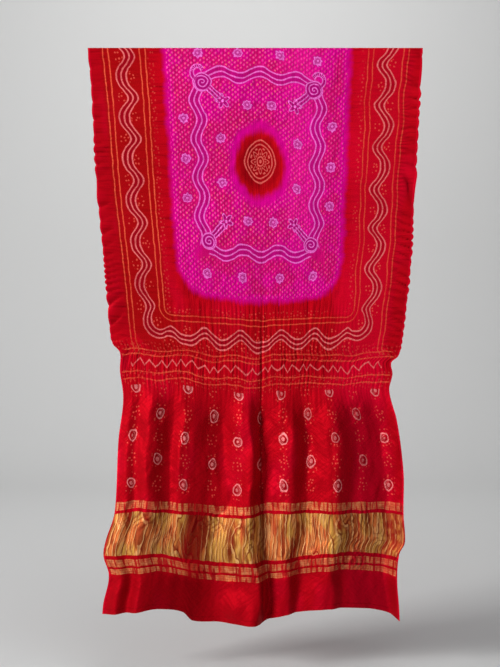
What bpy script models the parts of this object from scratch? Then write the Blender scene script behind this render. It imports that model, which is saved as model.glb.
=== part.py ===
"""A bandhani (tie-dyed) silk cloth with a woven gold end band, hanging by its top edge.

One woven length, so one solid: a thin sheet in the shape in which it hangs. The upper part is
drawn in by its ties, the waist is gathered, and the end below falls in soft uneven folds.
Metres, +Z up, the cloth's face looks along -Y. The origin is the middle of the top edge.
"""

import bisect
import math

import bmesh
import bpy

# Driving sizes
DROP = 1.530            # the top edge to the hem, along the cloth as it hangs
THICKNESS = 0.0015
COLUMNS = 50            # faces across
ROWS = 46               # faces down
CROWDING = 0.4          # the rows lie this share closer together at the waist
CROWDED_AT = 0.54       # the waist, as a share of the drop

# The selvedges and the lengthwise centre fold: how far down, and how far across.
LEFT_EDGE = (
    (0.000, -0.454), (0.140, -0.443), (0.410, -0.427), (0.545, -0.413), (0.680, -0.400),
    (0.775, -0.393), (0.800, -0.386), (0.822, -0.368), (0.870, -0.368), (0.945, -0.359),
    (1.060, -0.373), (1.255, -0.383), (1.330, -0.407), (1.370, -0.413), (1.425, -0.398),
    (1.500, -0.413), (1.530, -0.416),
)
RIGHT_EDGE = (
    (0.000, 0.451), (0.140, 0.442), (0.410, 0.427), (0.545, 0.420), (0.680, 0.406),
    (0.790, 0.393), (0.822, 0.384), (0.838, 0.366), (0.870, 0.369), (0.915, 0.360),
    (1.000, 0.380), (1.140, 0.398), (1.260, 0.398), (1.330, 0.402), (1.360, 0.387),
    (1.425, 0.381), (1.490, 0.386), (1.530, 0.388),
)
CENTRE_FOLD = ((0.000, 0.008), (0.700, 0.016), (1.000, 0.013), (1.530, 0.018))

# How far four of the rows hang below level. "at" runs from -1 at the left selvedge to 1 at the
# right one.
SAG = (
    # at,   waist, band's top, band's foot, hem
    (-1.00, 0.000, 0.000, 0.003, 0.000),
    (-0.82, 0.004, -0.009, -0.001, -0.007),
    (-0.67, 0.007, -0.004, -0.005, -0.015),
    (-0.50, 0.010, 0.001, 0.009, -0.005),
    (-0.44, 0.012, 0.003, 0.014, 0.020),
    (-0.28, 0.016, 0.012, 0.024, 0.026),
    (-0.02, 0.026, 0.006, 0.019, 0.026),
    (0.05, 0.024, -0.001, 0.017, 0.014),
    (0.27, 0.016, -0.002, 0.005, -0.007),
    (0.52, 0.013, -0.004, -0.009, -0.020),
    (0.74, 0.012, -0.002, -0.006, -0.015),
    (0.93, 0.011, 0.000, 0.003, 0.000),
    (1.00, 0.011, 0.002, 0.006, 0.018),
)
SAG_ROWS = (0.850, 1.257, 1.369, DROP)  # how far down those four rows are
LEVEL_TO = 0.25                         # the rows above this are level

# The crests and troughs of the loose end's folds, from left to right: where each is at the
# middle of the end and at the hem, and how far forward it stands there.
FOLDS = (
    # at,  forward, at hem, forward
    (-1.00, -0.012, -1.00, -0.008),
    (-0.93, -0.001, -0.905, 0.014),
    (-0.89, -0.002, -0.84, 0.000),
    (-0.79, 0.019, -0.77, 0.020),
    (-0.63, -0.010, -0.61, 0.000),
    (-0.55, 0.007, -0.50, -0.010),
    (-0.27, -0.029, -0.28, -0.032),
    (-0.07, 0.018, -0.03, 0.022),
    (0.01, -0.018, 0.035, -0.016),
    (0.20, 0.017, 0.19, 0.008),
    (0.33, -0.010, 0.25, -0.006),
    (0.54, 0.025, 0.50, 0.024),
    (0.70, -0.006, 0.57, 0.004),
    (0.87, -0.026, 0.92, -0.027),
    (1.00, 0.004, 1.00, 0.000),
)
FOLDS_START = 0.87       # above this the gathers hold them flat
FOLDS_FULL = 1.03        # from here down they stand as far forward as the table says
FOLDS_MIDDLE = 1.13      # where the table's first two columns apply

# The tied upper part lies almost flat.
GROOVE_DEPTH = 0.0015    # of the lengthwise centre fold
GROOVE_HALF_WIDTH = 0.06  # as a share of half the cloth's width
SWELL = 0.005            # the slow rise and fall of the tied cloth
SWELL_LENGTH = 0.37
FLUTE = 0.007            # how far forward and back the untied selvedges flute
FLUTE_LENGTH = 0.13
FLUTES_START = 0.86      # they begin outside the border's outer line
HELD_STRAIGHT = 0.06     # the top edge is held flat, and the cloth is free from here down

RED = (0.50, 0.004, 0.015, 1.0)
ROUGHNESS = 0.45


def ease(low, high, value):
    """0 below low, 1 above high, and a smooth step between."""
    t = min(max((value - low) / (high - low), 0.0), 1.0)
    return t * t * (3 - 2 * t)


def through(table, place, column=1):
    """A smooth curve through a table's places and one of its columns, read at one place."""
    places = [row[0] for row in table]
    values = [row[column] for row in table]
    last = len(places) - 1

    def slope(k):
        before, after = max(k - 1, 0), min(k + 1, last)
        return (values[after] - values[before]) / (places[after] - places[before])

    i = min(max(bisect.bisect_right(places, place) - 1, 0), last - 1)
    gap = places[i + 1] - places[i]
    t = min(max((place - places[i]) / gap, 0.0), 1.0)
    return (
        (2 * t**3 - 3 * t**2 + 1) * values[i]
        + (t**3 - 2 * t**2 + t) * gap * slope(i)
        + (3 * t**2 - 2 * t**3) * values[i + 1]
        + (t**3 - t**2) * gap * slope(i + 1)
    )


def sag(at, down):
    """How far below level a row hangs, at one place along it."""
    rows = (LEVEL_TO,) + SAG_ROWS
    sags = (0.0,) + tuple(through(SAG, at, column) for column in (1, 2, 3, 4))
    i = min(max(bisect.bisect_right(rows, down) - 1, 0), len(rows) - 2)
    return sags[i] + (sags[i + 1] - sags[i]) * ease(rows[i], rows[i + 1], down)


def fold_depth(at, down):
    """How far forward the loose end stands: half a cosine wave from each crest to each trough."""
    along = min(max((down - FOLDS_MIDDLE) / (DROP - FOLDS_MIDDLE), 0.0), 1.0)
    lines = [
        (mid + (hem - mid) * along, forward + (forward_hem - forward) * along)
        for mid, forward, hem, forward_hem in FOLDS
    ]
    i = min(max(bisect.bisect_right([line[0] for line in lines], at) - 1, 0), len(lines) - 2)
    (start, depth), (end, next_depth) = lines[i], lines[i + 1]
    turn = (1 - math.cos(math.pi * (at - start) / (end - start))) / 2
    return depth + (next_depth - depth) * turn


def tied_depth(at, down):
    """How far forward the tied upper part stands: its centre fold, slow swell and edge flutes."""
    groove = GROOVE_DEPTH * math.exp(-((at / GROOVE_HALF_WIDTH) ** 2))
    swell = SWELL * math.sin(math.tau * down / SWELL_LENGTH) * math.cos(math.pi * at)
    side = math.copysign(1, at)
    wave = math.sin(math.tau * down / FLUTE_LENGTH + side) + math.sin(math.tau * down / SWELL_LENGTH)
    flutes = FLUTE / 2 * wave * ease(FLUTES_START, 1, abs(at))
    return (swell + flutes - groove) * ease(0, HELD_STRAIGHT, down)


def hung_point(at, down):
    """Where a point hangs: at runs from -1 to 1 across, down is in metres from the top edge."""
    centre = through(CENTRE_FOLD, down)
    edge = through(RIGHT_EDGE if at > 0 else LEFT_EDGE, down)
    loose = ease(FOLDS_START, FOLDS_FULL, down)
    forward = tied_depth(at, down) * (1 - loose) + fold_depth(at, down) * loose
    return centre + (edge - centre) * abs(at), -forward, -(down + sag(at, down))


def row_place(level):
    """How far down a row is, from its level in the grid: 1 at the top to -1 at the hem."""
    share = (1 - level) / 2
    drawn = math.sin(math.tau * (share - CROWDED_AT)) + math.sin(math.tau * CROWDED_AT)
    return DROP * (share - CROWDING * drawn / math.tau)


def make_silk():
    material = bpy.data.materials.new("dyed_silk")
    material.use_nodes = True
    surface = material.node_tree.nodes["Principled BSDF"]
    surface.inputs["Base Color"].default_value = RED
    surface.inputs["Roughness"].default_value = ROUGHNESS
    surface.inputs["Metallic"].default_value = 0.0
    return material


def make_cloth(collection):
    """The whole cloth: a flat grid laid in its hanging shape, then given its thickness."""
    grid = bmesh.new()
    bmesh.ops.create_grid(grid, x_segments=COLUMNS, y_segments=ROWS, size=1)
    for vertex in grid.verts:
        at, level = vertex.co.x, vertex.co.y
        vertex.co = hung_point(at, row_place(level))
    mesh = bpy.data.meshes.new("cloth")
    grid.to_mesh(mesh)
    grid.free()
    mesh.shade_smooth()
    mesh.materials.append(make_silk())

    cloth = bpy.data.objects.new("cloth", mesh)
    collection.objects.link(cloth)
    sheet = cloth.modifiers.new("sheet", "SOLIDIFY")
    sheet.thickness = THICKNESS
    sheet.offset = 0


for old in list(bpy.data.objects):
    bpy.data.objects.remove(old)
parts = bpy.data.collections.new("bandhani_cloth")
bpy.context.scene.collection.children.link(parts)
make_cloth(parts)
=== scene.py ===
"""A bandhani silk cloth, tied, dyed and woven with gold end bands, hanging by its top edge."""

import bmesh
import bpy
import numpy as np
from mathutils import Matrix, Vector


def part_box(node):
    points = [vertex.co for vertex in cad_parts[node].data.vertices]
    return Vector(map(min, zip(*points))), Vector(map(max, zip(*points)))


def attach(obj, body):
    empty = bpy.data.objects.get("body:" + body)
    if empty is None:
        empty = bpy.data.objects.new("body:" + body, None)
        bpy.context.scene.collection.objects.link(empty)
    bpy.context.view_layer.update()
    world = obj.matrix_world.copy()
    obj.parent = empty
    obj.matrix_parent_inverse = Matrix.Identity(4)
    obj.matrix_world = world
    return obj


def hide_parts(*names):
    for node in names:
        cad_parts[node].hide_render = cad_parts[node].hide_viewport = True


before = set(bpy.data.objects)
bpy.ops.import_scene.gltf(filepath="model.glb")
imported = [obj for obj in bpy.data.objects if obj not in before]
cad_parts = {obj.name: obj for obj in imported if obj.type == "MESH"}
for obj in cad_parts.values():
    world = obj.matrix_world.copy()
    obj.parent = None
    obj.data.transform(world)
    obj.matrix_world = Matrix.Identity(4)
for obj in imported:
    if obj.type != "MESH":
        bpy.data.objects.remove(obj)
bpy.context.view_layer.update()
scene = bpy.context.scene
scene.view_settings.view_transform = "Standard"      # the dyes' colours are shown as they are


# The camera looks straight at the cloth's face, level, from just over three metres away.
low, high = (Vector(corner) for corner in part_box("cloth"))
VIEW_HEIGHT = 1.80       # of the view where the cloth hangs
CAMERA_AWAY = 3.20
AIMED_OFF = (-0.0147, 0.0080)        # across and up from the cloth's middle
camera = bpy.data.objects.new("camera", bpy.data.cameras.new("camera"))
cloth_middle = (low + high) / 2
camera.location = (cloth_middle.x + AIMED_OFF[0], -CAMERA_AWAY, cloth_middle.z + AIMED_OFF[1])
camera.rotation_euler = (np.pi / 2, 0, 0)
camera.data.sensor_width = 36
camera.data.lens = camera.data.sensor_width * CAMERA_AWAY / VIEW_HEIGHT
scene.collection.objects.link(camera)
scene.camera = camera


# ------------------------------------------------------------------ the length of silk, hung
# One loom width of satin silk, hanging single. The ties draw its upper part in to almost flat,
# the waist is gathered tight, and the loose end below opens into soft uneven folds. Places on
# it are "at", from -1 at the left selvedge to 1 at the right, and "down" from the top edge.
DROP = 1.530
WAIST_LOWEST = 0.92      # the gathers end here
BODY_ROWS, END_ROWS, COLUMNS = 250, 100, 280

LEFT_EDGE = np.array((
    # down, across
    (0.000, -0.454), (0.140, -0.443), (0.410, -0.427), (0.545, -0.413), (0.680, -0.400),
    (0.775, -0.393), (0.800, -0.386), (0.822, -0.368), (0.870, -0.368), (0.945, -0.359),
    (1.060, -0.373), (1.255, -0.383), (1.330, -0.407), (1.370, -0.413), (1.425, -0.398),
    (1.500, -0.413), (1.530, -0.416),
))
RIGHT_EDGE = np.array((
    # down, across
    (0.000, 0.451), (0.140, 0.442), (0.410, 0.427), (0.545, 0.420), (0.680, 0.406),
    (0.790, 0.393), (0.822, 0.384), (0.838, 0.366), (0.870, 0.369), (0.915, 0.360),
    (1.000, 0.380), (1.140, 0.398), (1.260, 0.398), (1.330, 0.402), (1.360, 0.387),
    (1.425, 0.381), (1.490, 0.386), (1.530, 0.388),
))
CENTRE_FOLD = np.array(((0.000, 0.008), (0.700, 0.016), (1.000, 0.013), (1.530, 0.018)))

SAG = np.array((
    # at,   waist, band's top, band's foot, hem: how far each row hangs below level
    (-1.00, 0.000, 0.000, 0.003, 0.000),
    (-0.82, 0.004, -0.009, -0.001, -0.007),
    (-0.67, 0.007, -0.004, -0.005, -0.015),
    (-0.50, 0.010, 0.001, 0.009, -0.005),
    (-0.44, 0.012, 0.003, 0.014, 0.020),
    (-0.28, 0.016, 0.012, 0.024, 0.026),
    (-0.02, 0.026, 0.006, 0.019, 0.026),
    (0.05, 0.024, -0.001, 0.017, 0.014),
    (0.27, 0.016, -0.002, 0.005, -0.007),
    (0.52, 0.013, -0.004, -0.009, -0.020),
    (0.74, 0.012, -0.002, -0.006, -0.015),
    (0.93, 0.011, 0.000, 0.003, 0.000),
    (1.00, 0.011, 0.002, 0.006, 0.018),
))
SAG_ROWS = (0.25, 0.850, 1.257, 1.369, DROP)

FOLDS = np.array((
    # at middle, forward, at hem, forward: the crests and troughs of the loose end
    (-1.00, -0.012, -1.00, -0.008),
    (-0.93, -0.001, -0.905, 0.014),
    (-0.89, -0.002, -0.84, 0.000),
    (-0.79, 0.019, -0.77, 0.020),
    (-0.63, -0.010, -0.61, 0.000),
    (-0.55, 0.007, -0.50, -0.010),
    (-0.27, -0.029, -0.28, -0.032),
    (-0.07, 0.018, -0.03, 0.022),
    (0.01, -0.018, 0.035, -0.016),
    (0.20, 0.017, 0.19, 0.008),
    (0.33, -0.010, 0.25, -0.006),
    (0.54, 0.025, 0.50, 0.024),
    (0.70, -0.006, 0.57, 0.004),
    (0.87, -0.026, 0.92, -0.027),
    (1.00, 0.004, 1.00, 0.000),
))
FOLDS_START, FOLDS_FULL, FOLDS_MIDDLE = 0.87, 1.03, 1.13
CREASED = 0.25           # how far the folds' sides are flat and their crests sharp
GROOVE_DEPTH, GROOVE_HALF_WIDTH = 0.0015, 0.06
SWELL, SWELL_LENGTH = 0.005, 0.37


def ease(low_end, high_end, value):
    """0 below the low end, 1 above the high end, and a smooth step between."""
    t = np.clip((value - low_end) / (high_end - low_end), 0, 1)
    return t * t * (3 - 2 * t)


def through(table, place, column=1):
    """A smooth curve through a table's places and one of its columns."""
    places, values = table[:, 0], table[:, column]
    slopes = np.empty_like(values)
    slopes[1:-1] = (values[2:] - values[:-2]) / (places[2:] - places[:-2])
    slopes[0] = (values[1] - values[0]) / (places[1] - places[0])
    slopes[-1] = (values[-1] - values[-2]) / (places[-1] - places[-2])
    i = np.clip(np.searchsorted(places, place, side="right") - 1, 0, len(places) - 2)
    gap = places[i + 1] - places[i]
    t = np.clip((place - places[i]) / gap, 0, 1)
    return (
        (2 * t**3 - 3 * t**2 + 1) * values[i]
        + (t**3 - 2 * t**2 + t) * gap * slopes[i]
        + (3 * t**2 - 2 * t**3) * values[i + 1]
        + (t**3 - t**2) * gap * slopes[i + 1]
    )


HILLS_ACROSS, HILLS_ALONG = 97, 101      # before the chance hills repeat


def chance(across, along, seed):
    """Soft chance hills and hollows from -1 to 1, about one for each unit across and along."""
    hills = np.random.default_rng(seed).uniform(-1, 1, (HILLS_ACROSS, HILLS_ALONG))
    i, j = np.floor(across).astype(int), np.floor(along).astype(int)
    s, t = ease(0, 1, across - i), ease(0, 1, along - j)

    def corner(di, dj):
        return hills[(i + di) % HILLS_ACROSS, (j + dj) % HILLS_ALONG]

    upper = corner(0, 0) * (1 - s) + corner(1, 0) * s
    lower = corner(0, 1) * (1 - s) + corner(1, 1) * s
    return upper * (1 - t) + lower * t


# A flat grid, whose rows lie closer in the tied part, where the puckers are smallest.
grid = bmesh.new()
bmesh.ops.create_grid(grid, x_segments=COLUMNS, y_segments=BODY_ROWS + END_ROWS, size=1)
mesh = bpy.data.meshes.new("silk_cloth")
grid.to_mesh(mesh)
grid.free()
flat = np.empty(len(mesh.vertices) * 3)
mesh.vertices.foreach_get("co", flat)
flat = flat.reshape(-1, 3)
at = flat[:, 0]
row = (1 - flat[:, 1]) / 2 * (BODY_ROWS + END_ROWS)
down = np.interp(row, (0, BODY_ROWS, BODY_ROWS + END_ROWS), (0, WAIST_LOWEST, DROP))

sags = [np.zeros_like(at)] + [through(SAG, at, column) for column in (1, 2, 3, 4)]
sag = sags[0]
for k, (above, below) in enumerate(zip(SAG_ROWS, SAG_ROWS[1:])):
    sag = sag + (sags[k + 1] - sags[k]) * ease(above, below, down)

lower = np.clip((down - FOLDS_MIDDLE) / (DROP - FOLDS_MIDDLE), 0, 1)
lines = FOLDS[:, 0] + np.outer(lower, FOLDS[:, 2] - FOLDS[:, 0])
depths = FOLDS[:, 1] + np.outer(lower, FOLDS[:, 3] - FOLDS[:, 1])
# the folds' lines stray a little on their way down
strays = 0.024 * chance(at * 5, down / 0.055, 25) + 0.030 * chance(at * 4, down / 0.11, 28)
strayed = np.clip(at + strays * (1 - at**2), -1, 1)
fold = np.clip((lines <= strayed[:, None]).sum(axis=1) - 1, 0, len(FOLDS) - 2)
here = np.arange(len(at))
start, end = lines[here, fold], lines[here, fold + 1]
share = (strayed - start) / (end - start)
turn = CREASED * share + (1 - CREASED) * (1 - np.cos(np.pi * share)) / 2
fold_depth = depths[here, fold] * (1 - turn) + depths[here, fold + 1] * turn

loose = ease(FOLDS_START, FOLDS_FULL, down)
groove = GROOVE_DEPTH * np.exp(-((at / GROOVE_HALF_WIDTH) ** 2))
swell = SWELL * np.sin(2 * np.pi * down / SWELL_LENGTH) * np.cos(np.pi * at)
forward = (swell - groove) * (1 - loose) + fold_depth * loose

centre = through(CENTRE_FOLD, down)
edge = np.where(at > 0, through(RIGHT_EDGE, down), through(LEFT_EDGE, down))
across = centre + (edge - centre) * np.abs(at)


# ------------------------------------------------------------------ where the design lies
# The design was tied while the silk lay flat, so it has its own measure: metres across from the
# centre fold and metres along from the top, which the hung cloth carries askew in places.
HALF_DESIGN = 0.45
MARGIN_SPREAD = 0.06     # the loose margins fan out by this share at the foot of the border
BORDER_FOOT = 0.80
SKEW, SKEW_REACH = 0.0235, 0.17     # the right half of the field lies lower than the left

spread = 1 + MARGIN_SPREAD * np.clip(down / BORDER_FOOT, 0, 1) * (1 - ease(0.80, 0.83, down))
design_across = at * HALF_DESIGN * spread
skewed = SKEW * ease(0, SKEW_REACH, design_across) * (1 - 0.65 * ease(0.40, 0.56, down))
design_along = down - skewed * (1 - ease(0.56, 0.80, down))
side = np.abs(design_across)


# ------------------------------------------------------------------ puckers, gathers and flutes
# Thread ties leave the silk crinkled: lengthwise pleats where the waist was bound, crosswise
# ones in the side borders, small puckers over the field, and free flutes along the selvedges.
PLEAT, CRINKLE, RIPPLE, GATHER, GILT_CREASE = 0.0124, 0.0112, 0.026, 0.0125, 0.018  # crest to crest
PLEAT_HEIGHT, CRINKLE_HEIGHT, PUCKER_HEIGHT, CREASE_HEIGHT = 0.0009, 0.0003, 0.0008, 0.0018
RIPPLE_HEIGHT, GATHER_HEIGHT, CRUMPLE_HEIGHT, BUCKLE_HEIGHT = 0.0004, 0.0010, 0.0012, 0.0034
FLUTES, FLUTE_CROWDING = 31, 0.735       # they crowd together towards the border's foot
FLUTE_HEIGHT = (0.0036, 0.0058)          # left and right: the left margin lies nearly flat
FLUTE_REACH = (0.0026, 0.0052)           # how far the left and right selvedges scallop
MARGIN_FROM, MARGIN_FULL, SELVEDGE_AT = 0.405, 0.445, 0.46
FOLD_VALLEY, FOLD_VALLEY_WIDTH = 0.0042, 0.009      # of the centre fold, below the field
# where each kind of crinkle comes and goes: from none to all of it, across or down
BORDER_SIDE, BODY_FOOT = (0.245, 0.275), (0.790, 0.815)
WAIST_PLEATS_TOP, WAIST_PLEATS_FOOT, PLEATS_SIDE = (0.655, 0.70), (0.888, 0.945), (0.27, 0.37)
END_TOP, GATHERS_FOOT = (0.90, 0.96), (0.90, 0.98)
GILT_TOP, GILT_FOOT, PLAIN_END_TOP = (1.222, 1.234), (1.412, 1.424), (1.424, 1.45)


def ridges(phase, sharpness):
    """Even ridges, one for each unit of phase: 1 on the crest and -1 in the valley."""
    return 1 - 2 * np.abs(np.sin(np.pi * phase)) ** sharpness


waist = ease(*WAIST_PLEATS_TOP, design_along) * (1 - ease(*WAIST_PLEATS_FOOT, down))
beside = ease(*BORDER_SIDE, side)
in_body = 1 - ease(*BODY_FOOT, down)
margin = ease(MARGIN_FROM, MARGIN_FULL, side) * in_body
lengthwise = waist * (1 - ease(*PLEATS_SIDE, side) * in_body)
crosswise = beside * in_body * (1 - lengthwise) * (1 - margin)

pleat_phase = design_across / PLEAT + 0.9 * chance(design_across / 0.035, down / 0.10, 11)
pleats = ridges(pleat_phase, 1.1) * (0.75 + 0.35 * chance(design_across / 0.02, down / 0.05, 12))
cross_phase = down / CRINKLE + 1.0 * chance(design_across / 0.05, down / 0.03, 13)
cross_ridges = ridges(cross_phase, 1.2) * (0.7 + 0.4 * chance(design_across / 0.03, down / 0.02, 14))
flute_down = np.clip(down - 0.35 * (side - 0.41), 0, 0.95)      # they slant down and outwards
flute_phase = -FLUTES * np.log(1 - FLUTE_CROWDING * flute_down) + 1.5 * chance(at * 2, down / 0.11, 15)
flutes = -ridges(flute_phase, 0.6) * (0.65 + 0.5 * chance(side / 0.5 + at, down / 0.045, 16))
flute_depth = np.where(at > 0, FLUTE_HEIGHT[1], FLUTE_HEIGHT[0])
field = (1 - beside) * (1 - lengthwise) * in_body
puckers = chance(design_across / 0.011, down / 0.013, 17) + 0.6 * chance(
    (design_across + down) / 0.016, (design_across - down) / 0.05, 18)

ripple_phase = design_across / RIPPLE + 0.8 * chance(design_across / 0.06, down / 0.16, 19)
ripples = ridges(ripple_phase, 1.6) * (0.55 + 0.6 * chance(design_across / 0.05, down / 0.12, 20))
gathers = ridges(design_across / GATHER + 0.9 * chance(design_across / 0.035, down / 0.10, 11), 1.4)
# small crumples that lean both ways, and longer buckles, some of them slanting
lean_right = chance(design_across / 0.030 + down / 0.045, down / 0.040 - design_across / 0.035, 23)
lean_left = chance(design_across / 0.024 - down / 0.03, down / 0.05 + design_across / 0.03, 24)
crumples = lean_right + 0.7 * lean_left
long_buckles = chance(design_across / 0.042 + 0.25 * chance(at * 3, down / 0.09, 34), down / 0.13, 33)
slant_buckles = chance(design_across / 0.028 + down / 0.10, down / 0.08, 35)
buckles = long_buckles + 0.6 * slant_buckles
in_end = ease(*END_TOP, down)

# Each tied ring below the waist stands up a little, with creases about it and slanting folds
# from one ring to the next.
RING_PEAK, RING_RAYS, SLANT_DEPTH = 0.0022, 0.0014, 0.0022
RING_ACROSS, RING_ALONG, FIRST_ROW, RING_SHIFT = 0.1655, 0.0668, 0.913, 0.010
rings_end = ease(0.92, 0.96, down) * (1 - ease(1.20, 1.235, down))
ring_row = (design_along - FIRST_ROW) / RING_ALONG
ring_row_number = np.round(ring_row)
ring_column = (side + RING_SHIFT) / RING_ACROSS + np.where(ring_row_number % 2 == 0, 0.5, 0.0)
from_ring_x = (ring_column - np.round(ring_column)) * RING_ACROSS
from_ring_y = (ring_row - ring_row_number) * RING_ALONG
from_ring = np.hypot(from_ring_x, from_ring_y)
ring_turn = np.arctan2(from_ring_y, from_ring_x) / (2 * np.pi)
near_ring = np.exp(-((from_ring / 0.030) ** 2)) * (1 - ease(0.018, 0.033, np.abs(from_ring_y)))
rays = ridges(9 * ring_turn + 0.6 * np.sin(37 * np.round(ring_column) + 17 * ring_row_number), 1.0)
rays = rays * near_ring * (1 - np.exp(-((from_ring / 0.009) ** 2)))
peak = np.exp(-((from_ring / 0.010) ** 2))
slant = np.zeros_like(down)
for lean in (1, -1):
    stray = 0.22 * chance(design_across / 0.03, down / 0.03, 26 + lean)
    line = (2 * (side + RING_SHIFT) / RING_ACROSS + lean * ring_row - 1) / 2 + stray
    slant = slant + np.exp(-(((line - np.round(line)) / 0.085) ** 2)) * (
        0.55 + 0.7 * chance(design_across / 0.05, down / 0.05, 30 + lean))
gold_band = ease(*GILT_TOP, down) * (1 - ease(*GILT_FOOT, down))
crease_phase = design_across / GILT_CREASE + 1.9 * chance(design_across / 0.034, down / 0.045, 21)
creases = ridges(crease_phase, 0.9) * (0.6 + 0.6 * chance(design_across / 0.030, down / 0.04, 22))
plain_end = ease(*PLAIN_END_TOP, down)
end_ripples = in_end * (1 - gold_band)

crinkle = (
    lengthwise * pleats
    + crosswise * cross_ridges
    + margin * flutes
    + field * puckers * 0.6
    + end_ripples * (1 - 0.75 * plain_end)
    * (0.08 * ripples + 0.3 * gathers * (1 - ease(0.90, 0.99, down)))
    + gold_band * creases
)
relief = (
    PLEAT_HEIGHT * lengthwise * pleats
    + CRINKLE_HEIGHT * crosswise * cross_ridges
    + flute_depth * margin * ease(MARGIN_FROM, SELVEDGE_AT, side) * flutes
    + PUCKER_HEIGHT * field * puckers
    + end_ripples * (RIPPLE_HEIGHT * ripples * (1 - 0.7 * plain_end)
                     + GATHER_HEIGHT * gathers * (1 - ease(*GATHERS_FOOT, down))
                     + CRUMPLE_HEIGHT * crumples * (1 - 0.6 * plain_end)
                     + BUCKLE_HEIGHT * buckles)
    + rings_end * (RING_PEAK * peak + RING_RAYS * rays - SLANT_DEPTH * slant)
    + CREASE_HEIGHT * gold_band * creases
    - FOLD_VALLEY * np.exp(-((at / FOLD_VALLEY_WIDTH) ** 2)) * ease(0.60, 0.85, down)
)
scallop = np.where(at > 0, FLUTE_REACH[1], FLUTE_REACH[0]) * ease(0.42, SELVEDGE_AT, side)
across = across + np.sign(at) * scallop * in_body * flutes
held = ease(0, 0.05, down)      # the top edge is held straight
forward = forward * held + relief * (0.35 + 0.65 * held)

points = np.column_stack((across, -forward, -(down + sag)))
mesh.vertices.foreach_set("co", points.ravel())
mesh.update()
mesh.shade_smooth()

CHART_WIDTH, CHART_LENGTH, CHART_TOP = 1.0, 1.65, 0.04
corner_vertex = np.empty(len(mesh.loops), dtype=np.int32)
mesh.loops.foreach_get("vertex_index", corner_vertex)
chart = np.column_stack((
    design_across / CHART_WIDTH + 0.5,
    1 - (design_along + CHART_TOP) / CHART_LENGTH,
))
mesh.uv_layers.new(name="OFBake").data.foreach_set("uv", chart[corner_vertex].ravel())
mesh.attributes.new("crinkle", "FLOAT", "POINT").data.foreach_set("value", np.clip(crinkle, -1, 1))
mesh.attributes.new("across", "FLOAT", "POINT").data.foreach_set("value", at)

cloth = bpy.data.objects.new("silk_cloth", mesh)
scene.collection.objects.link(cloth)
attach(cloth, "root")
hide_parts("cloth")


# ------------------------------------------------------------------ the dyer's measures
# Every line and dot of the design is a place on the silk that a tie kept from the dye. The
# material works each out from the two measures of the design, as sums on numbers.
silk = bpy.data.materials.new("dyed_satin_silk")
silk.use_nodes = True
nodes, links = silk.node_tree.nodes, silk.node_tree.links
mesh.materials.append(silk)


class Reading:
    """A number with a value at each point of the cloth, so that a sum on it is one more node."""

    def __init__(self, socket):
        self.socket = socket

    def __add__(self, other):
        return reckon("ADD", self, other)

    def __radd__(self, other):
        return reckon("ADD", other, self)

    def __sub__(self, other):
        return reckon("SUBTRACT", self, other)

    def __rsub__(self, other):
        return reckon("SUBTRACT", other, self)

    def __mul__(self, other):
        return reckon("MULTIPLY", self, other)

    def __rmul__(self, other):
        return reckon("MULTIPLY", other, self)

    def __truediv__(self, other):
        return reckon("DIVIDE", self, other)

    def __abs__(self):
        return reckon("ABSOLUTE", self)


def feed(socket, value):
    """Gives a node's input a reading, or a plain number or colour."""
    if isinstance(value, Reading):
        links.new(value.socket, socket)
    else:
        socket.default_value = value


def reckon(operation, *values):
    node = nodes.new("ShaderNodeMath")
    node.operation = operation
    for socket, value in zip(node.inputs, values):
        feed(socket, value)
    return Reading(node.outputs[0])


def least(*values):
    smallest = values[0]
    for value in values[1:]:
        smallest = reckon("MINIMUM", smallest, value)
    return smallest


def most(*values):
    largest = values[0]
    for value in values[1:]:
        largest = reckon("MAXIMUM", largest, value)
    return largest


def length_of(x, y):
    return reckon("SQRT", x * x + y * y)


def rise(value, low_end, high_end):
    """0 at the low end and 1 at the high end, with a smooth step between. The ends may swap."""
    node = nodes.new("ShaderNodeMapRange")
    node.interpolation_type = "SMOOTHSTEP"
    feed(node.inputs["Value"], value)
    node.inputs["From Min"].default_value = low_end
    node.inputs["From Max"].default_value = high_end
    return Reading(node.outputs["Result"])


def stroke(distance, half_width, blur=0.0009):
    """1 on a line, and 0 away from it."""
    return rise(abs(distance), half_width + blur, half_width - blur)


def pair(distance, half_gap, half_width):
    return stroke(abs(distance) - half_gap, half_width)


def triple(distance, gap, half_width):
    """Three lines side by side, the middle one on the place itself."""
    return stroke(least(abs(distance), abs(abs(distance) - gap)), half_width)


def between(value, low_end, high_end, blur):
    """1 between two places."""
    return rise(value, low_end - blur, low_end + blur) * rise(value, high_end + blur, high_end - blur)


def nearest(value):
    """How far a number is from the nearest whole one, from -0.5 to 0.5."""
    return value - reckon("ROUND", value)


def place(x, y, z=0.0):
    node = nodes.new("ShaderNodeCombineXYZ")
    for socket, value in zip(node.inputs, (x, y, z)):
        feed(socket, value)
    return Reading(node.outputs[0])


def grain(x, y, detail=2.0):
    """Soft chance light and dark, one for about each unit of x and y: about 0.3 to 0.7."""
    node = nodes.new("ShaderNodeTexNoise")
    node.noise_dimensions = "2D"
    feed(node.inputs["Vector"], place(x, y))
    node.inputs["Scale"].default_value = 1.0
    node.inputs["Detail"].default_value = detail
    return Reading(node.outputs["Factor"] if "Factor" in node.outputs else node.outputs["Fac"])


def colour(red, green, blue):
    """A dye's colour, from the way that it is seen on a screen, 0 to 255, to the light's own."""
    light = []
    for level in (red, green, blue):
        share = level / 255
        light.append(share / 12.92 if share <= 0.04045 else ((share + 0.055) / 1.055) ** 2.4)
    return (*light, 1.0)


def paint(under, over, cover):
    """Lays one colour over another, as far as cover says."""
    node = nodes.new("ShaderNodeMix")
    node.data_type = "RGBA"
    feed(node.inputs[0], cover)
    feed(node.inputs[6], under)
    feed(node.inputs[7], over)
    return Reading(node.outputs[2])


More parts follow.
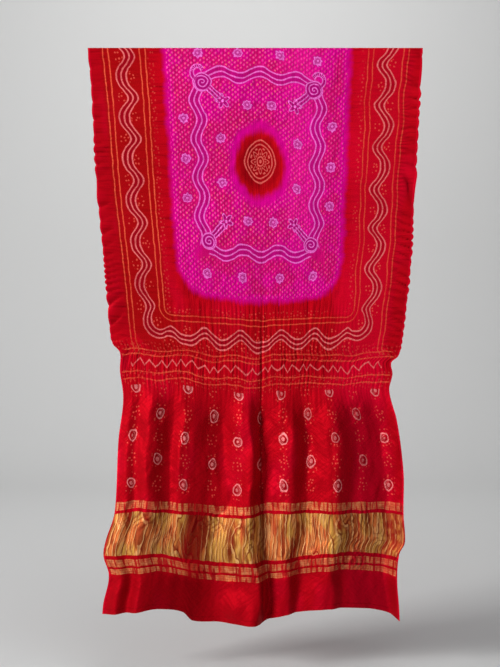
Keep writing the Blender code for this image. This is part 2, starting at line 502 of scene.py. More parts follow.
chart_node = nodes.new("ShaderNodeUVMap")
chart_node.uv_map = "OFBake"
chart_parts = nodes.new("ShaderNodeSeparateXYZ")
links.new(chart_node.outputs["UV"], chart_parts.inputs[0])
true_x = (Reading(chart_parts.outputs["X"]) - 0.5) * CHART_WIDTH
true_y = (1 - Reading(chart_parts.outputs["Y"])) * CHART_LENGTH - CHART_TOP
# the tied lines wander a little, as hand work does
x = true_x + (grain(true_x * 38, true_y * 38) - 0.5) * 0.0045
x = x + (grain(true_x * 6, true_y * 13, 0) - 0.5) * 0.009 * rise(true_x, 0.20, 0.30)
y = true_y + (grain(true_x * 34 + 7, true_y * 34) - 0.5) * 0.0060
y = y + (grain(true_x * 11 + 2, true_y * 4, 0) - 0.5) * 0.022 * between(true_y, 0.76, 0.92, 0.05)
aside = abs(x)
bead = rise(grain(true_x * 210, true_y * 210, 0), 0.25, 0.6)    # each tie of a line is a bead
crinkle_node = nodes.new("ShaderNodeAttribute")
crinkle_node.attribute_name = "crinkle"
crest = Reading(crinkle_node.outputs["Fac"])
edge_node = nodes.new("ShaderNodeAttribute")
edge_node.attribute_name = "across"
edge_reading = Reading(edge_node.outputs["Fac"])        # -1 at the left selvedge to 1 at the right
HEM_TURNED = DROP - 0.013


# ------------------------------------------------------------------ the red ground
# The whole cloth is dyed red last, in faint streaks, lengthwise in the middle and crosswise in
# the side borders. The same streaks raise the bump, so their dark parts are both uneven dye and
# painted shade in its valleys; the crinkles' own valleys get painted shade further on.
RED = colour(196, 6, 24)
DEEP_RED = colour(118, 1, 8)
BRIGHT_RED = colour(222, 6, 44)
long_streaks = grain(true_x * 170, true_y * 9)
cross_streaks = grain(true_x * 10, true_y * 150)
sideways = rise(aside, 0.22, 0.26) * rise(true_y, 0.80, 0.78)
streaks = long_streaks + (0.26 + cross_streaks * 0.48 - long_streaks) * sideways
# the loose end is without the streaks, their uneven dye and painted shade alike
even = rise(true_y, 0.86, 0.94) * 0.92      # the loose end takes the dye evenly
# dark streaks: uneven dye, and painted shade in the valleys of the streak bump
ground = paint(DEEP_RED, RED, most(rise(streaks, 0.22, 0.55), even))
ground = paint(ground, BRIGHT_RED, rise(grain(true_x * 9, true_y * 5), 0.50, 0.75) * 0.5)
# painted light on the right border
right_border_painted_light = rise(true_x, 0.22, 0.32) * rise(true_x, 0.44, 0.40)
ground = paint(ground, BRIGHT_RED, right_border_painted_light * (0.60 + rise(true_y, 0.30, 0.60) * 0.25))
# darker towards the hem, with painted shade on the dark sides of the loose end's folds left of the middle
# and at the right
hem_fold_painted_shade = rise(true_y, 1.40, 1.44) * (0.16 + between(true_x, -0.30, -0.19, 0.03) * 0.34)
ground = paint(ground, DEEP_RED, rise(true_y, 0.90, 0.98) * (0.30 + hem_fold_painted_shade))
ground = paint(ground, DEEP_RED, rise(true_y, 0.93, 1.00) * rise(true_x, 0.30, 0.38) * 0.22)
# painted shade on the left border and, more, on its margin
left_border_painted_shade = rise(true_x, -0.22, -0.30) * 0.14 + rise(true_x, -0.40, -0.42) * 0.18
ground = paint(ground, DEEP_RED, left_border_painted_shade * rise(true_y, 0.80, 0.74))


# ------------------------------------------------------------------ the magenta field
# The middle is dyed magenta before the red, and bound off from it. Its edge bleeds, with a rim
# of pure violet-pink, and thousands of dots, each one a tied pinch, cover it in leaning rows.
FIELD_HALF, FIELD_FOOT, FIELD_CORNER = 0.253, 0.668, 0.085
FIELD_BOW = 0.28         # how fast the field's foot rises from its middle to its corners
MAGENTA = colour(207, 12, 110)
VIOLET_PINK = colour(216, 4, 140)
PAINTED_LIGHT_PINK = colour(238, 22, 158)
CRIMSON = colour(178, 6, 66)
DOT_PINK = colour(245, 86, 152)
DOT_ORANGE = colour(244, 100, 122)
DOT_ACROSS, DOT_ALONG = 0.0165, 0.0134     # between like dots; another lies midway

corner_x = most(aside - (FIELD_HALF - FIELD_CORNER), 0.0)
corner_y = most(true_y + aside * aside * FIELD_BOW - (FIELD_FOOT - FIELD_CORNER), 0.0)
bleed = (streaks - 0.5) * 0.016 + (grain(true_x * 22, true_y * 22) - 0.5) * 0.012
from_field = length_of(corner_x, corner_y) - FIELD_CORNER + bleed
in_field = rise(from_field, 0.011, -0.011)
tint = grain(true_x * 12 + 3, true_y * 12)
pink = paint(MAGENTA, VIOLET_PINK, rise(tint, 0.40, 0.66))
pink = paint(pink, VIOLET_PINK, rise(from_field, -0.026, -0.010))
# painted light on the field right of the middle, above its foot
pink = paint(pink, PAINTED_LIGHT_PINK, between(true_x, 0.07, 0.17, 0.04) * rise(true_y, 0.60, 0.45) * 0.55)

lean_one = x / DOT_ACROSS + y / DOT_ALONG
lean_two = x / DOT_ACROSS - y / DOT_ALONG
dots = nodes.new("ShaderNodeTexVoronoi")
dots.voronoi_dimensions = "2D"
dots.inputs["Scale"].default_value = 1.0
dots.inputs["Randomness"].default_value = 0.22
feed(dots.inputs["Vector"], place(lean_one, lean_two))
dot_parts = nodes.new("ShaderNodeSeparateXYZ")
links.new(dots.outputs["Position"], dot_parts.inputs[0])
off_one = lean_one - Reading(dot_parts.outputs["X"])
off_two = lean_two - Reading(dot_parts.outputs["Y"])
from_dot = length_of((off_one + off_two) * (DOT_ACROSS / 2), (off_one - off_two) * (DOT_ALONG / 2 * 0.82))
dot_kind = nodes.new("ShaderNodeSeparateColor")
links.new(dots.outputs["Color"], dot_kind.inputs[0])
dot_hue = paint(DOT_PINK, DOT_ORANGE, rise(Reading(dot_kind.outputs[0]), 0.55, 0.8))
# tied less tightly on the right and towards the foot
slack = most(rise(true_x, 0.02, 0.14), rise(true_y, 0.46, 0.60)) * 0.40
dot_strength = (0.45 + Reading(dot_kind.outputs[1]) * 0.55) * (1 - slack)

# The tied motifs keep the dots off, so their places come first.
FLOWERS = (
    # across, along, for the left half; the right half mirrors them
    (0.162, 0.013), (0.057, 0.014), (0.034, 0.154), (0.209, 0.190), (0.109, 0.243),
    (0.208, 0.298), (0.108, 0.362), (0.208, 0.403), (0.037, 0.462), (0.163, 0.600), (0.058, 0.606),
)
FRAME_HALF, FRAME_TOP, FRAME_FOOT = 0.168, 0.073, 0.543
FRAME_WAVE, FRAME_SWING, FRAME_GAP = 0.1055, 0.0092, 0.0136
FRAME_SIDE_WAVE, FRAME_SIDE_START = 0.1035, 0.141
UPPER_CURL = (0.154, 0.092)
LOWER_CURL = (0.153, 0.516)
MEDALLION_ALONG, MEDALLION_HALF = 0.308, (0.073, 0.091)

frame_x = aside - FRAME_HALF
frame_y = abs(y - (FRAME_TOP + FRAME_FOOT) / 2) - (FRAME_FOOT - FRAME_TOP) / 2
on_side = rise(frame_x - frame_y, -0.001, 0.001)
side_swing = reckon("COSINE", (y - FRAME_SIDE_START) * (2 * np.pi / FRAME_SIDE_WAVE))
end_swing = reckon("COSINE", aside * (2 * np.pi / FRAME_WAVE))
swing = end_swing + (side_swing - end_swing) * on_side
from_frame = most(frame_x, frame_y) - swing * FRAME_SWING
at_corner = rise(frame_x, -0.020, -0.010) * rise(frame_y, -0.026, -0.014)
frame_lines = triple(from_frame, FRAME_GAP, 0.0018) * (1 - at_corner)

best_x, best_y, best = None, None, None
for flower_x, flower_y in FLOWERS:
    dx, dy = aside - flower_x, y - flower_y
    away = length_of(dx, dy)
    if best is None:
        best_x, best_y, best = dx, dy, away
        continue
    nearer = reckon("LESS_THAN", away, best)
    best_x = best_x + (dx - best_x) * nearer
    best_y = best_y + (dy - best_y) * nearer
    best = least(best, away)

from_upper_curl = length_of(aside - UPPER_CURL[0], y - UPPER_CURL[1])
from_lower_curl = length_of(aside - LOWER_CURL[0], y - LOWER_CURL[1])
medal_across = reckon("POWER", aside / MEDALLION_HALF[0], 2.0)
medal_along = reckon("POWER", abs(y - MEDALLION_ALONG - 0.003) / MEDALLION_HALF[1], 1.7)
from_medal = reckon("POWER", medal_across + medal_along, 0.54)
from_medal = from_medal + (grain(true_x * 24, true_y * 18) - 0.5) * 0.20
from_medal = from_medal + (long_streaks - 0.5) * 0.12
clear = (
    rise(best, 0.0165, 0.0195)
    * rise(abs(from_frame), 0.0185, 0.0215)
    * rise(least(from_upper_curl, from_lower_curl), 0.026, 0.030)
    * rise(from_field, -0.004, -0.010)
    * rise(from_medal, 1.16, 1.26)
)
around_dot = rise(from_dot, 0.0064, 0.0031)
pink = paint(pink, CRIMSON, clear * (1 - around_dot) * (1 - slack) * 0.32)
dot_cover = rise(from_dot, 0.0031, 0.0016) * clear * dot_strength
pink = paint(pink, dot_hue, dot_cover)
ground = paint(ground, pink, in_field)


# ------------------------------------------------------------------ the field's tied motifs
# Inside the field a frame of three waved lines, with a curled motif at each corner that points
# inwards to a star, small eight-lobed flowers, and in the middle a red-bound pointed medallion.
LILAC = colour(246, 118, 214)
LILAC_SHADE = colour(176, 10, 118)
SALMON = colour(236, 106, 98)
MEDAL_RED = colour(200, 10, 24)
beaded = 0.65 + bead * 0.35      # a line of ties shows most where each tie is

in_frame = rise(abs(from_frame), FRAME_GAP + 0.003, FRAME_GAP + 0.001) * (1 - at_corner)
ground = paint(ground, LILAC_SHADE, in_frame * in_field * 0.62)
off_curls = rise(least(from_upper_curl, from_lower_curl), 0.020, 0.024)
ground = paint(ground, LILAC, frame_lines * beaded * off_curls)

FLOWER_RADIUS, FLOWER_LOBE = 0.0110, 0.0011
lobes = reckon("COSINE", reckon("ARCTAN2", best_y, best_x) * 8)
petal_edge = best - FLOWER_RADIUS - lobes * FLOWER_LOBE
petal_edge = petal_edge + (grain(true_x * 90, true_y * 90, 0) - 0.5) * 0.0060
ground = paint(ground, LILAC_SHADE, rise(petal_edge, 0.0038, 0.0024))
ground = paint(ground, LILAC, rise(petal_edge, 0.0, -0.0012) * 0.14)
flower = most(stroke(petal_edge, 0.0020, 0.0009), rise(best, 0.0040, 0.0026),
              stroke(best - 0.0072, 0.0010, 0.0008) * rise(lobes, -0.2, 0.6) * 0.7)
ground = paint(ground, LILAC, flower * (0.55 + bead * 0.42))

CURLS = (
    # across and along of a corner's curl, its radius, and which way it winds
    (*UPPER_CURL, 0.0240, 1),
    (*LOWER_CURL, 0.0205, -1),
)
TURNS_APART = 0.0098     # from one turn of a curl to the next


def curl(centre_x, centre_y, radius, flip):
    """A spiral line inside a ring, which unwinds outwards."""
    dx, dy = aside - centre_x, (y - centre_y) * flip
    away = length_of(dx, dy)
    angle = reckon("ARCTAN2", dy, dx) / (2 * np.pi)
    coil = nearest(away / TURNS_APART - angle)
    inside = rise(away, radius + 0.0012, radius - 0.0008)
    return away, most(stroke(coil * TURNS_APART, 0.0015, 0.0007) * inside, stroke(away - radius, 0.0016))


for centre_x, centre_y, radius, flip in CURLS:
    away, coil = curl(centre_x, centre_y, radius, flip)
    ground = paint(ground, LILAC_SHADE, rise(away, radius + 0.003, radius + 0.001))
    ground = paint(ground, LILAC, coil * beaded)

# a curled stem rises outside each upper corner, cross-striped towards its tip
STEM_CURL, STEM_RADIUS, STEM_HALF_GAP = (0.1655, 0.0665), 0.0155, 0.0045
stem_x, stem_y = aside - STEM_CURL[0], y - STEM_CURL[1]
off_stem = length_of(stem_x, stem_y * 0.9) - STEM_RADIUS
stem_reach = rise(stem_x - stem_y * 0.6, -0.012, -0.008)
stem_band = rise(abs(off_stem), 0.0062, 0.0046) * stem_reach
stem_stripes = stroke(nearest(reckon("ARCTAN2", stem_y, stem_x) * 3.4), 0.16, 0.10)
stem_stripes = stem_stripes * rise(stem_y, -0.002, -0.006) * rise(abs(off_stem), 0.0052, 0.0040)
stem_lines = most(pair(off_stem, STEM_HALF_GAP, 0.0012), stem_stripes)
stem_lines = stem_lines * stem_reach * rise(from_upper_curl, 0.021, 0.023)
ground = paint(ground, LILAC_SHADE, stem_band * 0.8)
ground = paint(ground, LILAC, stem_lines * 0.9)

STAR_RADIUS, STAR_POINT, STAR_STEM_APART = 0.0142, 0.0056, 0.0088
STARS = (
    # across and along of a star, and of the corner that its three-line stem leaves
    (0.1000, 0.1440, *UPPER_CURL),
    (0.1000, 0.4625, *LOWER_CURL),
)
for star_x, star_y, from_x, from_y in STARS:
    lean = np.array((star_x - from_x, star_y - from_y))
    reach = np.hypot(*lean)
    lean = lean / reach
    dx, dy = aside - star_x, y - star_y
    ahead = dx * lean[0] + dy * lean[1]
    beside_stem = dy * lean[0] - dx * lean[1]
    on_stem = rise(ahead, -0.006, -0.008) * rise(ahead, 0.020 - reach, 0.023 - reach)
    stem = triple(beside_stem, STAR_STEM_APART, 0.0015) * on_stem
    points_of = reckon("COSINE", reckon("ARCTAN2", beside_stem, ahead) * 5)
    star_away = length_of(dx, dy)
    star_edge = star_away - STAR_RADIUS - points_of * STAR_POINT
    shade = most(rise(star_edge, 0.003, 0.001), rise(abs(beside_stem), 0.012, 0.010) * on_stem)
    ground = paint(ground, LILAC_SHADE, shade * 0.85)
    stem = stem * rise(star_away, 0.008, 0.011)
    star = most(stroke(star_edge, 0.0018), rise(star_away, 0.0046, 0.0030), stem)
    ground = paint(ground, LILAC, star * beaded)

# The medallion: a patch bound off in red, two pointed ovals and a plain eight-petalled rosette.
in_medal = rise(from_medal, 1.10, 0.86)
halo = rise(from_medal, 1.42, 1.10)
ground = paint(ground, VIOLET_PINK, halo * in_field * 0.8)
medal_depth = rise(from_medal, 0.95, 0.60) * 0.50 + rise(long_streaks, 0.50, 0.70) * 0.25
medal = paint(MEDAL_RED, DEEP_RED, medal_depth + rise(x, 0.01, -0.05) * 0.22)
OVALS = (
    # half across, half along, half of the line
    (0.0440, 0.0570, 0.00165),
    (0.0350, 0.0455, 0.00143),
)
oval_y = y - MEDALLION_ALONG + 0.003
for half_x, half_y, half_line in OVALS:
    oval = reckon("POWER", aside / half_x, 1.6) + reckon("POWER", abs(oval_y) / half_y, 1.75)
    oval_line = stroke((oval - 1) * (half_x / 1.7), half_line)
    medal = paint(medal, SALMON, oval_line * (0.55 + bead * 0.35))
PETAL_TIPS, PETAL_DEPTH, PETAL_VEINS = 0.0205, 0.0054, 0.0155
INNER_RING, OUTER_TICKS = 0.0096, 0.0272
rosette_y = oval_y * 0.80        # it is drawn out a little lengthwise
rosette = length_of(aside, rosette_y)
petals = reckon("COSINE", reckon("ARCTAN2", rosette_y, aside) * 8)
rosette_lines = most(
    stroke(rosette - PETAL_TIPS - petals * PETAL_DEPTH, 0.0016, 0.0009),
    stroke(rosette - INNER_RING, 0.0014, 0.0008),
    rise(rosette, 0.0046, 0.0030),
    stroke(rosette - PETAL_VEINS, 0.0022, 0.0012) * rise(petals, 0.3, 0.8) * 0.7,
    stroke(rosette - OUTER_TICKS, 0.0020, 0.0010) * rise(petals, -0.3, -0.8),
)
medal = paint(medal, SALMON, rosette_lines * (0.62 + bead * 0.28))
ground = paint(ground, medal, in_medal)


# ------------------------------------------------------------------ the border
# Round the field, tied before the last red: an outer and an inner pair of fine orange lines,
# and between them a triple pink line that waves, with pinches of orange dots in its hollows.
LINE_ORANGE = colour(246, 98, 66)
WAVE_PINK = colour(242, 122, 120)
BAND_RED = colour(158, 10, 8)
WAVE_GROUND = colour(146, 4, 26)
SPECK_ORANGE = colour(242, 92, 76)
BORDER_HALF, BORDER_ALONG, BORDER_CORNER = 0.3565, 0.770, 0.080
WAVE_LENGTH, WAVE_SWING, WAVE_GAP, WAVE_START = 0.1117, 0.0136, 0.0136, 0.0216
PAIR_AWAY, PAIR_HALF_GAP, PAIR_HALF_LINE = 0.0485, 0.0072, 0.0015
WAIST_PAIR_ALONG, WAIST_PAIR_HALF_GAP = 0.881, 0.0092

straight_x = aside - (BORDER_HALF - BORDER_CORNER)
straight_y = y - (BORDER_ALONG - BORDER_CORNER)
round_x, round_y = most(straight_x, 0.0), most(straight_y, 0.0)
off_border = length_of(round_x, round_y) - BORDER_CORNER
turned = reckon("ARCTAN2", round_y, most(round_x, 0.00001))
travelled = (
    least(y, BORDER_ALONG - BORDER_CORNER)
    + turned * BORDER_CORNER
    - least(straight_x, 0.0)
)
wave_phase = (travelled - WAVE_START) / WAVE_LENGTH
wave = reckon("COSINE", wave_phase * (2 * np.pi) + reckon("SINE", wave_phase * (2 * np.pi)) * 0.25)
off_wave = off_border + wave * WAVE_SWING
in_body_dye = rise(y, 0.806, 0.802)
wave_lines = triple(off_wave, WAVE_GAP, 0.0021) * in_body_dye
in_band = between(off_border, -PAIR_AWAY - 0.014, PAIR_AWAY + 0.014, 0.006) * rise(y, 0.84, 0.80)
# the band between the pairs is a deeper red, with painted shade added towards the left
ground = paint(ground, BAND_RED, in_band * (0.26 + rise(true_x, -0.15, -0.30) * 0.42))
# the dark ground about the wave, lightened towards the right by painted light
wave_ground_and_light = 0.65 - rise(true_x, 0.0, 0.2) * 0.17
ground = paint(ground, WAVE_GROUND, rise(abs(off_wave), 0.0165, 0.0145) * in_body_dye * wave_ground_and_light)

off_selvedge = rise(aside, 0.446, 0.440)
outer_pair = pair(aside - BORDER_HALF - PAIR_AWAY, PAIR_HALF_GAP, PAIR_HALF_LINE) * rise(y, 0.822, 0.818)
foot_pair = pair(y - BORDER_ALONG - PAIR_AWAY - 0.001, PAIR_HALF_GAP, PAIR_HALF_LINE) * off_selvedge
inner_pair = pair(off_border + PAIR_AWAY, PAIR_HALF_GAP, PAIR_HALF_LINE) * in_body_dye
waist_pair = pair(y - WAIST_PAIR_ALONG, WAIST_PAIR_HALF_GAP, PAIR_HALF_LINE) * off_selvedge
straight_lines = most(outer_pair, foot_pair, inner_pair, waist_pair)
tight = rise(grain(true_x * 15 + 9, true_y * 15), 0.30, 0.55)   # where the ties were pulled tight
fainter = most(rise(true_x, 0.15, 0.30), rise(true_y, 0.66, 0.72)) * 0.26
line_strength = 0.42 + bead * 0.26 + tight * 0.24 - fainter
ground = paint(ground, LINE_ORANGE, straight_lines * line_strength)
ground = paint(ground, WAVE_PINK, wave_lines * (0.42 + bead * 0.28 + tight * 0.26))

ZIGZAG_LENGTH, ZIGZAG_TOP, ZIGZAG_TALL = 0.0354, 0.839, 0.017
zigzag_x = x / ZIGZAG_LENGTH + (grain(true_x * 20 + 30, 0.5, 0) - 0.5) * 1.1
zigzag_tall = ZIGZAG_TALL * (0.75 + grain(true_x * 26, 3.5, 0) * 0.6)
zigzag = y - ZIGZAG_TOP - abs(nearest(zigzag_x)) * 2 * zigzag_tall
zigzag_line = stroke(zigzag * 0.72, 0.0016) * rise(aside, 0.418, 0.414)
ground = paint(ground, WAVE_PINK, zigzag_line * (0.45 + bead * 0.4))

specks = nodes.new("ShaderNodeTexVoronoi")
specks.voronoi_dimensions = "2D"
specks.inputs["Scale"].default_value = 1.0
specks.inputs["Randomness"].default_value = 0.75
feed(specks.inputs["Vector"], place(x * 88, y * 88))
speck = rise(Reading(specks.outputs["Distance"]), 0.27, 0.15)
hollow = least(
    length_of(nearest(wave_phase) * WAVE_LENGTH * 0.9, off_border - 0.0150),
    length_of(nearest(wave_phase + 0.5) * WAVE_LENGTH * 0.9, off_border + 0.0150),
)
in_hollow = rise(hollow, 0.0150, 0.0125) * rise(abs(off_wave), 0.0170, 0.0190) * in_body_dye
beside_pair = between(off_border, -0.076, -0.061, 0.002) * in_body_dye * tight * 0.6
about_waist = between(true_y, 0.79, 0.905, 0.01) * rise(abs(y - 0.847), 0.014, 0.018) * 0.45
ground = paint(ground, SPECK_ORANGE, speck * most(in_hollow, beside_pair, about_waist) * 0.62)


# ------------------------------------------------------------------ the end's tied rings
# Below the waist the dyer tied rings in staggered rows, each round a dot, with loose pinches of
# orange dots about and between them. The centre fold takes the middle ring of each other row.
RING_PINK = colour(250, 150, 150)

column_fold = aside + RING_SHIFT
row_count = (y - FIRST_ROW) / RING_ALONG
row_number = reckon("ROUND", row_count)
odd_row = reckon("PINGPONG", row_number, 1.0)
column_count = column_fold / RING_ACROSS + (1 - odd_row) * 0.5
side_sign = reckon("SIGN", x)
cast = nodes.new("ShaderNodeTexWhiteNoise")
cast.noise_dimensions = "3D"
feed(cast.inputs["Vector"], place(reckon("ROUND", column_count), row_number, side_sign))
cast_parts = nodes.new("ShaderNodeSeparateColor")
links.new(cast.outputs["Color"], cast_parts.inputs[0])
ring_x = nearest(column_count) * RING_ACROSS + (Reading(cast_parts.outputs[0]) - 0.5) * 0.008
ring_y = (row_count - row_number) * RING_ALONG + (Reading(cast_parts.outputs[1]) - 0.5) * 0.006
ring_wide = 0.0116 + rise(y, 0.934, 0.930) * 0.0022        # the first row is cut by the gathers
ring_tall = 0.0132 + Reading(cast_parts.outputs[2]) * 0.0035
ring = length_of(ring_x / ring_wide, ring_y / ring_tall)
# the middle ring of each odd row was tied on the fold, so its left half alone shows
on_fold = odd_row * rise(aside, 0.031, 0.030)
ring = ring + (length_of((x - 0.001) / 0.0105, ring_y / 0.0170) - ring) * on_fold
ring = ring + (grain(true_x * 60, true_y * 50, 1) - 0.5) * 0.60
ring_lines = most(
    stroke(ring - 1.0, 0.12, 0.10),
    rise(ring, 0.50, 0.26) * 0.80,
    stroke(ring - 0.66, 0.05, 0.06) * rise(ring_x, 0.003, -0.003) * 0.55,
)
in_rings = between(y, 0.908, 1.214, 0.001)
ring_cover = ring_lines * in_rings * (1 - on_fold * rise(x, -0.001, 0.002))
ground = paint(ground, DEEP_RED, rise(ring, 1.05, 0.9) * in_rings * 0.35)
ring_strength = 0.42 + bead * 0.30 + tight * 0.22 - rise(true_x, 0.05, 0.15) * 0.14
ground = paint(ground, RING_PINK, ring_cover * ring_strength)
between_x = nearest(column_count + 0.5) * RING_ACROSS
pinch = length_of(between_x, ring_y * 0.7)
about = most(between(ring, 1.45, 2.05, 0.1) * rise(abs(ring_x), 0.022, 0.012), rise(pinch, 0.018, 0.014))
ground = paint(ground, SPECK_ORANGE, speck * about * in_rings * 0.56)


# ------------------------------------------------------------------ the gold bands
# Woven in at the loom: gilt thread floats over the red silk in one broad band with a narrow
# one above and two below. Its stiff threads crease lengthwise, over patches from bright gilt to
# copper; its creases and folds carry painted shade and painted highlights.
GILT = colour(206, 150, 70)
PALE_GILT = colour(244, 190, 124)
COPPER = colour(212, 106, 58)
DARK_GILT_AND_SHADE = colour(118, 26, 14)
PINK_GILT = colour(230, 126, 86)
BROAD_BAND = (1.2595, 1.3690)
NARROW_BANDS = ((1.2285, 1.2500), (1.3800, 1.3985), (1.4050, 1.4190))

broad = between(y, *BROAD_BAND, 0.0008)
narrow = most(*(between(y, *band, 0.0007) for band in NARROW_BANDS))
gilt_streaks = grain(true_x * 100 + grain(true_x * 22, true_y * 20, 0) * 3, true_y * 9, 2)
# the folded gilt shows as wavering lines, some of which close on themselves
folded = 1.2 + 2.6 * rise(grain(true_x * 9 + 12, true_y * 2, 0), 0.50, 0.64)
waver = nearest(grain(true_x * 26, true_y * 9 + 2, 0) * folded + true_x * 72
                + (grain(true_x * 70, true_y * 50, 1) - 0.5) * 0.45)
gold = paint(GILT, COPPER, rise(grain(true_x * 16 + 5, true_y * 7), 0.44, 0.58) * 0.80)
# dark streaks along the gilt: painted shade in the valleys of the streaks' bump, over the gilt's own tone
gold = paint(gold, DARK_GILT_AND_SHADE, rise(gilt_streaks, 0.46, 0.34) * 0.55)
gold_patch = grain(true_x * 34 + 17, true_y * 11, 2.0)
gold = paint(gold, DARK_GILT_AND_SHADE, rise(gold_patch, 0.46, 0.36) * 0.72)
gold = paint(gold, PALE_GILT, rise(gold_patch, 0.58, 0.66) * 0.30)
# each fold of the gilt gets a painted highlight on its edge, with a painted shadow beside it
gold = paint(gold, DARK_GILT_AND_SHADE, between(waver, 0.12, 0.26, 0.05) * 0.80)
gold = paint(gold, PALE_GILT, rise(abs(waver), 0.14, 0.05) * 0.60)
# painted shade in the valleys of the gilt's creases
gold = paint(gold, DARK_GILT_AND_SHADE, rise(crest, -0.1, -0.9) * 0.6)
# painted shade in the centre fold
gold = paint(gold, DARK_GILT_AND_SHADE, rise(abs(x - 0.004), 0.013, 0.003) * 0.70)      # in the centre fold
blocks = rise(grain(true_x * 118 + 40, y * 16, 1), 0.40, 0.48)
picks = 0.8 + 0.2 * reckon("SINE", y * (2 * np.pi / 0.0060))
narrow_gold = paint(gold, PINK_GILT, 0.55)
narrow_gold = paint(narrow_gold, PALE_GILT, rise(grain(true_x * 64 + 8, y * 90, 1), 0.50, 0.66) * 0.40)
# left of the middle, and at the right end, the gilt is folded under, off the silk; left of the
# middle it carries painted shade of a fold, and at the right end it is darker in patches
right_end = rise(true_x, 0.375, 0.400)
pocket_painted_shade = between(true_x, -0.30, -0.175, 0.02) * 0.16 + between(true_x, -0.232, -0.175, 0.01) * 0.38
gold = paint(gold, DARK_GILT_AND_SHADE, pocket_painted_shade)
gold = paint(gold, DARK_GILT_AND_SHADE, right_end * rise(grain(true_x * 90, true_y * 40), 0.60, 0.40) * 0.75)
bare = rise(grain(true_x * 24, true_y * 6 + 4), 0.60, 0.70) * 0.6
bare = most(bare, between(true_x, -0.226, -0.172, 0.010), right_end * 0.45)
gold_cover = most(broad * (1 - bare * 0.85), narrow * (0.06 + blocks * picks * 0.62) * (1 - bare * 0.75))
gold = paint(gold, narrow_gold, narrow)


# ------------------------------------------------------------------ creases, selvedges and hem
# Painted shade lies in the crinkles' valleys and a painted highlight on their crests. The loom
# weaves the selvedges closer, and they carry a painted highlight; the foot of the silk is turned
# up and stitched.
in_waist = between(true_y, 0.66, 0.93, 0.02)
crinkle_shade_share = (1 - sideways * rise(aside, 0.41, 0.40) * 0.85) * (1 - in_field * 0.7) * (1 - in_waist * 0.45)
crinkle_shade_share = crinkle_shade_share * (1 - rise(true_x, -0.40, -0.42) * in_body_dye * 0.5)
right_margin = rise(true_x, 0.405, 0.43) * in_body_dye
# painted shade in the crinkles' valleys, less in the side borders, the field, the waist and the left
# margin
shaded = paint(ground, DEEP_RED, rise(crest, 0.15, -0.95) * crinkle_shade_share * 0.55)
# more painted shade in the gaps between the right margin's flutes
shaded = paint(shaded, DEEP_RED, rise(crest, 0.6, -0.4) * right_margin * 0.36)
# painted highlight on the crinkles' crests, outside the field
shaded = paint(shaded, BRIGHT_RED, rise(crest, 0.35, 1.0) * rise(in_field, 0.6, 0.2) * crinkle_shade_share * 0.30)
# painted shade in the centre fold's crease, lower down
centre_fold_painted_shade = rise(aside, 0.0050, 0.0010) * rise(true_y, 0.45, 0.80)
shaded = paint(shaded, DEEP_RED, centre_fold_painted_shade * 0.60)
selvedge = rise(abs(edge_reading), 0.985, 0.992)
# painted highlight along the selvedges
shaded = paint(shaded, BRIGHT_RED, selvedge * 0.6)
hem_stitches = stroke(true_y - HEM_TURNED, 0.0007, 0.0006)
shaded = paint(shaded, DEEP_RED, hem_stitches * 0.5)
# the silk left bare left of the middle lies in the fold's shade
shaded = paint(shaded, DEEP_RED, between(true_x, -0.236, -0.169, 0.010) * broad * 0.60)
final = paint(shaded, gold, gold_cover * (1 - selvedge * 0.7))


# ------------------------------------------------------------------ the finish of the silk
# Satin-woven silk: it takes a soft broad shine along its floats, the gilt a brighter one. Each
# tied dot stands up as a small point, and fine threads and slubs run through the whole cloth.
surface = nodes["Principled BSDF"]
feed(surface.inputs["Base Color"], final)
satin = rise(true_y, 0.88, 0.97)
dry_streaks = (streaks - 0.5) * (1 - satin) * 0.12
feed(surface.inputs["Roughness"], 0.48 + satin * 0.06 - gold_cover * 0.06 + dry_streaks)
feed(surface.inputs["Metallic"], 0.15 + satin * (0.16 + gold_cover * 0.08))
surface.inputs["Sheen Weight"].default_value = 0.02
surface.inputs["Sheen Roughness"].default_value = 0.35
surface.inputs["Sheen Tint"].default_value = (1.0, 0.20, 0.30, 1.0)
surface.inputs["Specular IOR Level"].default_value = 0.15
surface.inputs["Specular Tint"].default_value = (1.0, 0.04, 0.10, 1.0)

threads = grain(true_x * 900, true_y * 260, 1)
peaks = rise(from_dot, 0.0052, 0.0007) * clear * in_field
diagonal_one = grain(true_x * 50 + true_y * 62, true_y * 14 - true_x * 17, 0.5)
diagonal_two = grain(true_x * 50 - true_y * 62, true_y * 14 + true_x * 17, 0.5)
pulls = abs(diagonal_one - 0.5) + abs(diagonal_two - 0.5)
height = (threads * 0.00014 + peaks * 0.0011 + streaks * (1 - satin) * 0.0010
          + pulls * satin * (1 - gold_cover) * 0.0017 + gilt_streaks * gold_cover * 0.0008
          + abs(waver) * gold_cover * -0.0007 + selvedge * 0.0004
          + between(true_y, HEM_TURNED, DROP + 0.05, 0.0008) * 0.0005 - hem_stitches * 0.0004)
relief_node = nodes.new("ShaderNodeBump")
relief_node.inputs["Strength"].default_value = 0.9
relief_node.inputs["Distance"].default_value = 1.0
feed(relief_node.inputs["Height"], height)
links.new(relief_node.outputs["Normal"], surface.inputs["Normal"])


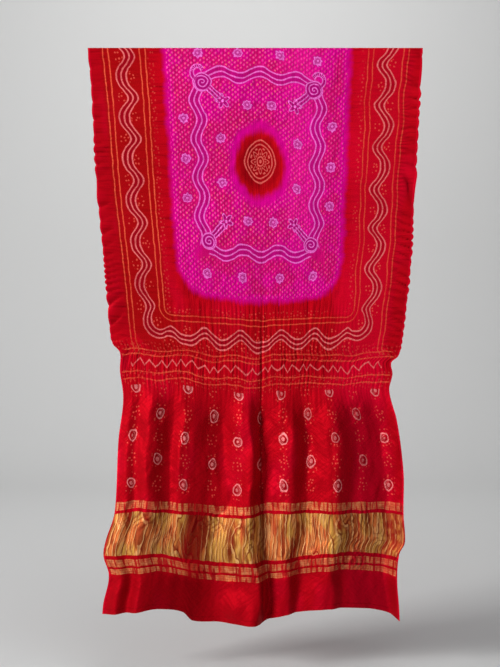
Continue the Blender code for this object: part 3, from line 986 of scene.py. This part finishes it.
# ------------------------------------------------------------------ the plain pale studio
# A pale floor that curves up into a backdrop, with one large soft lamp before the cloth on the
# left, a weak one on the right, a little light from above, and a lamp behind the cloth that
# lights the backdrop. None of it is the object's.
FLOOR = low.z - 0.14     # the hem hangs clear of it
BACKDROP_BEHIND, BACKDROP_HALF, CURVE = 5.6, 20.0, 1.6
cove = bmesh.new()
profile = [(-7.0, FLOOR), (BACKDROP_BEHIND - CURVE, FLOOR)]
for angle in np.linspace(0, np.pi / 2, 9)[1:]:
    profile.append((BACKDROP_BEHIND - CURVE * (1 - np.sin(angle)), FLOOR + CURVE * (1 - np.cos(angle))))
profile.append((BACKDROP_BEHIND, FLOOR + 6.0))
rows = []
for deep, tall in profile:
    rows.append([cove.verts.new((wide, deep, tall)) for wide in (-BACKDROP_HALF, BACKDROP_HALF)])
for first, second in zip(rows, rows[1:]):
    cove.faces.new((first[0], first[1], second[1], second[0]))
backdrop_mesh = bpy.data.meshes.new("backdrop")
cove.to_mesh(backdrop_mesh)
cove.free()
backdrop_mesh.shade_smooth()
backdrop = bpy.data.objects.new("backdrop", backdrop_mesh)
scene.collection.objects.link(backdrop)
pale = bpy.data.materials.new("pale_studio")
pale.use_nodes = True
pale.node_tree.nodes["Principled BSDF"].inputs["Base Color"].default_value = (0.74, 0.74, 0.73, 1)
pale.node_tree.nodes["Principled BSDF"].inputs["Roughness"].default_value = 0.9
backdrop_mesh.materials.append(pale)

LAMPS = (
    # name, place, side, watts
    ("key", (-4.4, -3.2, 0.9), 1.7, 300),
    ("fill", (2.0, -3.0, -0.4), 1.6, 7),
    ("top", (0.3, -0.9, 1.3), 1.2, 12),
    ("wall", (0.0, 2.4, 2.6), 2.5, 75),
)
middle = Vector((0, 0, cloth_middle.z))
wall_middle = Vector((0, BACKDROP_BEHIND, -0.6))
for name, lamp_place, lamp_side, watts in LAMPS:
    lamp = bpy.data.lights.new(name, "AREA")
    lamp.shape = "SQUARE"
    lamp.size = lamp_side
    lamp.energy = watts
    lamp_object = bpy.data.objects.new(name, lamp)
    lamp_object.location = lamp_place
    lit = wall_middle if name == "wall" else middle
    lamp_object.rotation_euler = (lit - Vector(lamp_place)).to_track_quat("-Z", "Y").to_euler()
    scene.collection.objects.link(lamp_object)
world = bpy.data.worlds.new("studio_air")
world.use_nodes = True
world.node_tree.nodes["Background"].inputs["Color"].default_value = (0.9, 0.93, 1.0, 1)
world.node_tree.nodes["Background"].inputs["Strength"].default_value = 0.12
scene.world = world
